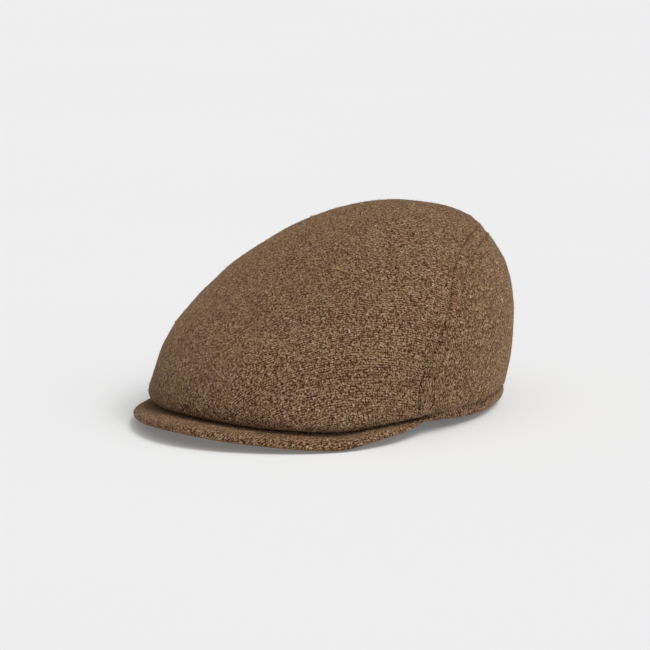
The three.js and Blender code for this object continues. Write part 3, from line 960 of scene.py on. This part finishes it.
def stitch_tree(material):
    """Stitches along a path: bent threads laid end to end, square to the cloth."""
    tree, sizes = node_group("stitches", Length="Float", Pitch="Float", Thread="Float")
    thread = sizes["Thread"]
    stitch = bent_strand(tree, sizes["Length"], thread, thread, (-1.3, 1.6, -1.3), 6, 6)
    path = add_node(tree, "GeometryNodeMeshToCurve", {"Mesh": sizes["Geometry"]})
    links = {"Curve": path, "Length": sizes["Pitch"]}
    points = add_node(tree, "GeometryNodeCurveToPoints", links, mode="LENGTH")
    outward = add_node(
        tree, "GeometryNodeInputNamedAttribute", {"Name": "outward"}, data_type="FLOAT_VECTOR"
    )
    along = add_node(
        tree, "FunctionNodeAlignRotationToVector", {"Vector": points.outputs["Tangent"]}, axis="X"
    )
    standing = add_node(
        tree, "FunctionNodeAlignRotationToVector", {"Rotation": along, "Vector": outward},
        axis="Z", pivot_axis="X",
    )
    links = {"Points": points, "Instance": stitch, "Rotation": standing}
    return close_group(tree, material, links)


def scatter_tree(name, material, rises, steps, sides):
    """Bits of wool scattered over the outer faces, each with a shade of its own."""
    tree, sizes = node_group(name, Density="Float", Length="Float", Radius="Float", Seed="Int")
    shown = add_node(
        tree, "GeometryNodeInputNamedAttribute", {"Name": OUTER_FACE}, data_type="BOOLEAN"
    )
    spread = add_node(
        tree, "GeometryNodeDistributePointsOnFaces", {
            "Mesh": sizes["Geometry"], "Selection": shown, "Density": sizes["Density"],
            "Seed": sizes["Seed"],
        },
    )
    shade = add_node(tree, "FunctionNodeRandomValue", {"Seed": 3})
    shaded = add_node(
        tree, "GeometryNodeStoreNamedAttribute",
        {"Geometry": spread, "Name": "shade", "Value": shade.outputs[1]},
    )
    length = sizes["Length"]
    bit = bent_strand(tree, length, sizes["Radius"], length, rises, steps, sides)
    turn = add_node(
        tree, "FunctionNodeRandomValue",
        {"Min": (-0.3, -0.3, 0.0), "Max": (0.3, 0.3, 6.283), "Seed": 5}, data_type="FLOAT_VECTOR",
    )
    turned = add_node(
        tree, "FunctionNodeRotateRotation",
        {"Rotation": spread.outputs["Rotation"], "Rotate By": turn}, rotation_space="LOCAL",
    )
    size = add_node(tree, "FunctionNodeRandomValue", {2: 0.55, 3: 1.25, "Seed": 7})
    links = {"Points": shaded, "Instance": bit, "Rotation": turned, "Scale": size.outputs[1]}
    return close_group(tree, material, links)


# Operators


def current_colours():
    colours = bpy.context.scene.flat_cap_colours
    return {name: (*getattr(colours, name), 1.0) for name in FlatCapColours.__annotations__}


made = {}


def crown_grid():
    if "grid" not in made:
        made["grid"] = CrownGrid(CapShape())
    return made["grid"]


def behind_seam(grid):
    """Which cells of the grid belong to the back panel."""
    start = from_front(grid.angle) > BACK_PANEL_FOOT + 1e-6
    cell_behind = start | np.roll(start, -1)
    rows = np.arange(grid.top_row)
    return cell_behind[:, None] & (rows < grid.seam_row)


def cloth_piece(piece, node):
    """Dresses a piece in tweed and keeps it for the nap."""
    dress(piece, "tweed", made_of("brown_wool_tweed", tweed, current_colours()), node)
    made[node] = piece


class OBJECT_OT_cap_top_panel(bpy.types.Operator):
    """Builds the one-piece front and top of the crown"""

    bl_idname = "object.cap_top_panel"
    bl_label = "Top Panel"

    def execute(self, context):
        grid = crown_grid()
        cloth_piece(panel("top_panel", grid, ~behind_seam(grid), top_map(grid)), "crown_top")
        return {"FINISHED"}


class OBJECT_OT_cap_back_panel(bpy.types.Operator):
    """Builds the panel round the back of the crown"""

    bl_idname = "object.cap_back_panel"
    bl_label = "Back Panel"

    def execute(self, context):
        grid = crown_grid()
        cloth_piece(panel("back_panel", grid, behind_seam(grid), back_map(grid)), "crown_back")
        return {"FINISHED"}


class OBJECT_OT_cap_band(bpy.types.Operator):
    """Builds the band and its rolled hem"""

    bl_idname = "object.cap_band"
    bl_label = "Band and Hem"

    def execute(self, context):
        cloth_piece(build_band(CapShape()), "head_band")
        return {"FINISHED"}


class OBJECT_OT_cap_peak(bpy.types.Operator):
    """Builds the covered peak"""

    bl_idname = "object.cap_peak"
    bl_label = "Peak"

    def execute(self, context):
        cloth_piece(build_peak(CapShape()), "peak")
        return {"FINISHED"}


class OBJECT_OT_cap_stitching(bpy.types.Operator):
    """Sews the panels' seam and the topstitching behind it"""

    bl_idname = "object.cap_stitching"
    bl_label = "Stitching"

    def execute(self, context):
        grid = crown_grid()
        sizes = context.scene.flat_cap_sizes
        material = made_of("spun_polyester_thread", sewing_thread, current_colours())
        tree = stitch_tree(material)
        for name, (path, outward) in (
            ("seam_stitches", seam_path(grid)),
            ("topstitches", topstitch_path(grid)),
        ):
            mesh = bpy.data.meshes.new(name + "_path")
            edges = [(k, k + 1) for k in range(len(path) - 1)]
            mesh.from_pydata(((path + grid.shape.place) / MM).tolist(), edges, [])
            attribute = mesh.attributes.new("outward", "FLOAT_VECTOR", "POINT")
            attribute.data.foreach_set("vector", outward.astype(np.float32).ravel())
            carrier = add_object(name + "_path", mesh)
            piece = run_nodes(
                carrier, tree, name, Length=sizes.stitch_length, Pitch=sizes.stitch_pitch,
                Thread=sizes.thread_radius,
            )
            bpy.data.objects.remove(carrier)
            bpy.data.meshes.remove(mesh)
            dress(piece, "thread", material)
        return {"FINISHED"}


def seam_path(grid):
    """The seam where it shows, and the outward direction along it."""
    line = grid.seam_line()
    line = tuple(line[grid.level[tuple(line.T)] > 0.2].T)
    return grid.points[line], grid.normal[line]


def topstitch_path(grid):
    """Where the back panel's surface lies at the topstitching's distance from the seam, and the
    outward direction there."""
    wanted = grid.shape.topstitch_offset
    back = np.nonzero(grid.behind)[0]
    start = from_front(grid.angle[back])
    order = back[np.argsort(np.where(grid.angle[back] <= 180, start, 360 - start))]
    distance = grid.seam_distance[order, grid.RIM : grid.seam_row + 1]
    far = distance > wanted
    last = far.shape[1] - 1 - np.argmax(far[:, ::-1], axis=1)
    found = far.any(axis=1) & (last + 1 < far.shape[1])
    distance, i, last = distance[found], order[found], last[found]
    each = np.arange(len(i))
    near, past = distance[each, last], distance[each, last + 1]
    s, row = ((near - wanted) / (near - past))[:, None], last + grid.RIM
    path, normals = (
        blend(values[i, row], values[i, row + 1], s) for values in (grid.points, grid.normal)
    )
    return path, unit(normals)


class OBJECT_OT_cap_nap(bpy.types.Operator):
    """Raises loose fibres and coloured nubs of wool on the outer cloth"""

    bl_idname = "object.cap_nap"
    bl_label = "Nap and Nubs"

    def execute(self, context):
        sizes = context.scene.flat_cap_sizes
        colours = current_colours()
        nodes = ("crown_top", "crown_back", "head_band", "peak")
        carrier = joined([made[node] for node in nodes], "nap_carrier")
        area = outer_area(carrier.data)
        # Each kind of wool: its pieces' name, its material and shades, how many there are, their
        # length and radius, how far start, middle and end stand up, steps, sides and a seed.
        plans = (
            (
                "nap_fibres", "loose_wool_fibres",
                ((0.0, "dark_yarn"), (0.3, "brown"), (0.6, "olive"), (0.8, "light_yarn")),
                (sizes.nap_fibres, sizes.nap_length, 0.00004),
                ((0.0, 0.45, 0.45), 3, 3, 41),
            ), (
                "wool_nubs", "dyed_wool_nubs",
                ((0.0, "straw"), (0.3, "cream"), (0.55, "rust"), (0.75, "light_yarn")),
                (sizes.nubs, 0.0016, 0.00042),
                ((0.0, 0.22, 0.0), 5, 5, 43),
            ),
        )
        for name, wool, shades, (count, size, radius), (rises, steps, sides, seed) in plans:
            stops = [(share, colours[yarn]) for share, yarn in shades]
            material = made_of(wool, loose_wool, stops)
            piece = run_nodes(
                carrier, scatter_tree(name, material, rises, steps, sides), name,
                Density=count / area, Length=size, Radius=radius, Seed=seed,
            )
            dress(piece, "tweed", material)
        bpy.data.objects.remove(carrier)
        return {"FINISHED"}


def joined(pieces, name):
    """A throwaway object with the meshes of several pieces."""
    gathered = bmesh.new()
    for piece in pieces:
        gathered.from_mesh(piece.data)
    mesh = bpy.data.meshes.new(name)
    gathered.to_mesh(mesh)
    gathered.free()
    return add_object(name, mesh)


def outer_area(mesh):
    shown = mesh.attributes[OUTER_FACE].data
    return sum(face.area for face in mesh.polygons if shown[face.index].value)


def direction(azimuth, elevation):
    """A unit vector from degrees round from the peak, towards the wearer's left, and up."""
    a, e = math.radians(azimuth), math.radians(elevation)
    return math.sin(a) * math.cos(e), -math.cos(a) * math.cos(e), math.sin(e)


def aim(thing, back, place):
    """Puts a light or a camera at a place, with its back to a direction."""
    thing.rotation_euler = back.to_track_quat("Z", "Y").to_euler()
    thing.location = place


class OBJECT_OT_cap_stage(bpy.types.Operator):
    """Sets the pale floor, the soft light and the camera"""

    bl_idname = "object.cap_stage"
    bl_label = "Stage"

    def execute(self, context):
        scene = context.scene
        mesh = bpy.data.meshes.new("studio_floor")
        reach = 40.0
        corners = [(-reach, -reach, 0), (reach, -reach, 0), (reach, reach, 0), (-reach, reach, 0)]
        mesh.from_pydata(corners, [], [(0, 1, 2, 3)])
        mesh.materials.append(made_of("opal_acrylic_table", opal_acrylic, current_colours()))
        floor = add_object("studio_floor", mesh)

        world = bpy.data.worlds.new("soft_studio")
        world.use_nodes = True
        tree = world.node_tree
        # A pale room with a very wide soft light high up on one side.
        place = add_node(tree, "ShaderNodeTexCoord").outputs["Generated"]
        links = {0: place, 1: direction(*SOFT_LIGHT)}
        facing = add_node(tree, "ShaderNodeVectorMath", links, operation="DOT_PRODUCT")
        dome = add_node(
            tree, "ShaderNodeValToRGB", {"Fac": facing.outputs["Value"]},
            greys((0.0, 0.22), (0.45, 0.35), (1.0, 1.0)),
        )
        fill(tree, tree.nodes["Background"], {"Color": dome, "Strength": SOFT_STRENGTH})
        scene.world = world
        light = bpy.data.lights.new("key_light", "SUN")
        light.energy, light.angle = KEY_STRENGTH, math.radians(KEY_SPREAD)
        towards = Vector(direction(*KEY_LIGHT))
        aim(add_object("key_light", light), towards, towards * 2)

        lens = bpy.data.cameras.new("photo_camera")
        lens.sensor_width = 36.0
        lens.lens = 36.0 * PHOTO_SCALE * CAMERA_DISTANCE * MM / PHOTO_WIDTH
        camera = add_object("photo_camera", lens)
        back = Vector(direction(*CAMERA))
        aim(camera, back, Vector(CAMERA_TARGET) + back * CAMERA_DISTANCE)
        scene.camera = camera
        scene.view_settings.view_transform = "Standard"
        return {"FINISHED"}


PIECES = (
    OBJECT_OT_cap_top_panel,
    OBJECT_OT_cap_back_panel,
    OBJECT_OT_cap_band,
    OBJECT_OT_cap_peak,
    OBJECT_OT_cap_stitching,
    OBJECT_OT_cap_nap,
    OBJECT_OT_cap_stage,
)


class VIEW3D_PT_flat_cap(bpy.types.Panel):
    """Sizes, colours and pieces of the flat cap"""

    bl_idname = "VIEW3D_PT_flat_cap"
    bl_label = "Flat Cap"
    bl_space_type = "VIEW_3D"
    bl_region_type = "UI"
    bl_category = "Flat Cap"

    def draw(self, context):
        layout = self.layout
        for group in (context.scene.flat_cap_sizes, context.scene.flat_cap_colours):
            column = layout.column(align=True)
            for name in type(group).__annotations__:
                column.prop(group, name)
        for operator in PIECES:
            layout.operator(operator.bl_idname)


CLASSES = (FlatCapSizes, FlatCapColours, *PIECES, VIEW3D_PT_flat_cap)


def register():
    for cls in CLASSES:
        bpy.utils.register_class(cls)
    bpy.types.Scene.flat_cap_sizes = PointerProperty(type=FlatCapSizes)
    bpy.types.Scene.flat_cap_colours = PointerProperty(type=FlatCapColours)


def unregister():
    del bpy.types.Scene.flat_cap_colours
    del bpy.types.Scene.flat_cap_sizes
    for cls in reversed(CLASSES):
        bpy.utils.unregister_class(cls)


def main():
    register()
    for operator in PIECES:
        group, name = operator.bl_idname.split(".")
        getattr(getattr(bpy.ops, group), name)()


if __name__ == "__main__":
    main()
